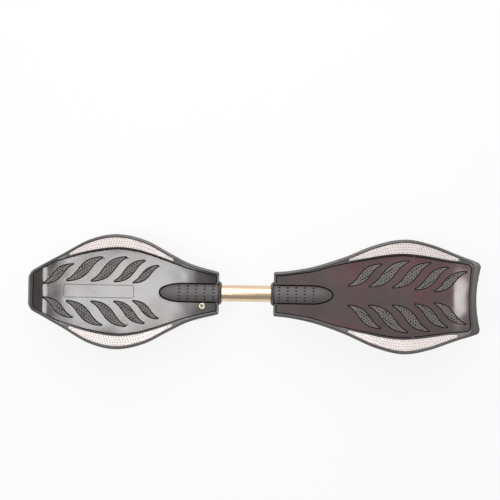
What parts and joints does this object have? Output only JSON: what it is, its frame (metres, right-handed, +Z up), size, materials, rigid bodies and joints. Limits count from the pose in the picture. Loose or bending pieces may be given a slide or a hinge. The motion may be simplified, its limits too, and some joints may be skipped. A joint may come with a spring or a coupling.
{
  "type": "caster board",
  "caption": "Caster board: footplates with leaf-shaped foot grips joined by a torsion tube, each riding on a leaning swivel caster.",
  "frame": {"origin": "middle of the board's length and width, on the road surface under the wheels", "axes": "+X towards the wide tail, nose at -X, +Z up from the road, +Y across the board"},
  "size_m": [0.864, 0.2212, 0.1257],
  "materials": {
    "deck_black": "glossy floor, satin rim",
    "grip_pale": "matte with fine dots",
    "collar_dark": "satin",
    "plug_brass": "satin",
    "tube_gold": "gold anodised, satin",
    "steel_bright": "zinc plated",
    "steel_dark": "oiled",
    "nylon_white": "moulded",
    "tyre_pale": "cast polyurethane"
  },
  "bodies": {
    "front_board": {"front_deck": "deck_black", "front_side_grip_left": "grip_pale", "front_side_grip_right": "grip_pale", "front_round_plug": "plug_brass", "front_collar": "collar_dark", "torsion_tube": "tube_gold", "tube_plug": "steel_dark", "torsion_bar": "steel_dark", "clamp_bolt_outer": "steel_bright", "clamp_bolt_inner": "steel_bright", "clamp_nut_outer": "steel_bright", "clamp_nut_inner": "steel_bright", "front_caster_plate": "steel_bright", "front_plate_bolt_1": "steel_bright", "front_plate_bolt_2": "steel_bright", "front_plate_bolt_3": "steel_bright", "front_plate_bolt_4": "steel_bright", "front_kingpin": "steel_dark", "front_kingpin_nut": "steel_bright"},
    "rear_board": {"rear_deck": "deck_black", "rear_side_grip_left": "grip_pale", "rear_side_grip_right": "grip_pale", "rear_collar": "collar_dark", "tube_bush_outer": "nylon_white", "tube_bush_inner": "nylon_white", "bar_anchor": "steel_bright", "stop_bolt": "steel_bright", "anchor_bolt": "steel_bright", "rear_caster_plate": "steel_bright", "rear_plate_bolt_1": "steel_bright", "rear_plate_bolt_2": "steel_bright", "rear_plate_bolt_3": "steel_bright", "rear_plate_bolt_4": "steel_bright", "rear_kingpin": "steel_dark", "rear_kingpin_nut": "steel_bright"},
    "front_swivel": {"front_fork": "steel_bright", "front_swivel_bearing": "steel_dark", "front_lower_race": "steel_bright", "front_axle_bolt": "steel_bright", "front_axle_nut": "steel_bright", "front_axle_spacer": "steel_bright", "front_bearing_inner_left": "steel_bright", "front_bearing_inner_right": "steel_bright"},
    "front_wheel": {"front_wheel_core": "nylon_white", "front_tyre": "tyre_pale", "front_bearing_outer_left": "steel_dark", "front_bearing_outer_right": "steel_dark"},
    "rear_swivel": {"rear_fork": "steel_bright", "rear_swivel_bearing": "steel_dark", "rear_lower_race": "steel_bright", "rear_axle_bolt": "steel_bright", "rear_axle_nut": "steel_bright", "rear_axle_spacer": "steel_bright", "rear_bearing_inner_left": "steel_bright", "rear_bearing_inner_right": "steel_bright"},
    "rear_wheel": {"rear_wheel_core": "nylon_white", "rear_tyre": "tyre_pale", "rear_bearing_outer_left": "steel_dark", "rear_bearing_outer_right": "steel_dark"}
  },
  "joints": [
    {"name": "deck_twist", "type": "hinge", "parent": "front_board", "child": "rear_board", "pos_m": [0, 0, 0.09], "axis": [1, 0, 0], "range_deg": [-30, 30], "stiffness_Nm_per_rad": 35, "deforming": ["torsion_bar"]},
    {"name": "front_caster_swivel", "type": "hinge", "parent": "front_board", "child": "front_swivel", "pos_m": [-0.3, 0, 0.07276], "axis": [-0.5, 0, 0.866], "continuous": true},
    {"name": "rear_caster_swivel", "type": "hinge", "parent": "rear_board", "child": "rear_swivel", "pos_m": [0.24, 0, 0.07276], "axis": [-0.5, 0, 0.866], "continuous": true},
    {"name": "front_wheel_spin", "type": "hinge", "parent": "front_swivel", "child": "front_wheel", "pos_m": [-0.25222, 0, 0.038], "axis": [0, 1, 0], "continuous": true},
    {"name": "rear_wheel_spin", "type": "hinge", "parent": "rear_swivel", "child": "rear_wheel", "pos_m": [0.28779, 0, 0.038], "axis": [0, 1, 0], "continuous": true}
  ]
}
